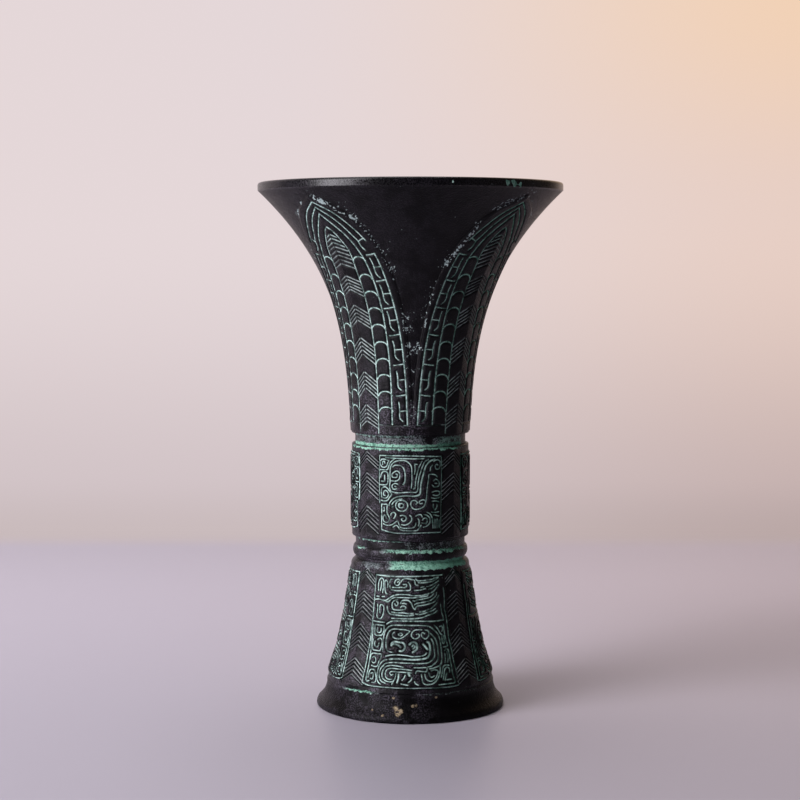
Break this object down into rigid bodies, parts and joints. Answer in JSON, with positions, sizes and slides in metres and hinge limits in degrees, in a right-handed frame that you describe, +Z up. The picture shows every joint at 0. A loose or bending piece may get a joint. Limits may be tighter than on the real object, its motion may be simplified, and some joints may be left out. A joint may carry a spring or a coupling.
{
  "type": "gu vessel",
  "caption": "Slender bronze gu wine vessel with a trumpet mouth, raised leaves, framed panels, recessed collars, a bead and a hollow splayed foot.",
  "frame": {"origin": "centre of the foot's rim, on the surface that the vessel stands on", "axes": "+Z up along the vessel's axis, -Y towards the viewer of the picture, through the middle of the front panel, +X to that viewer's right"},
  "size_m": [0.1162, 0.1162, 0.2005],
  "materials": {
    "dark_bronze": "near-black chemical patina on cast bronze, green in the recesses",
    "verdigris_bronze": "green verdigris over dark bronze"
  },
  "bodies": {
    "root": {"foot": "dark_bronze", "lower_coupling": "verdigris_bronze", "bead_ring": "verdigris_bronze", "floor_plate": "dark_bronze", "middle_section": "dark_bronze", "upper_coupling": "verdigris_bronze", "neck": "dark_bronze"}
  },
  "joints": []
}
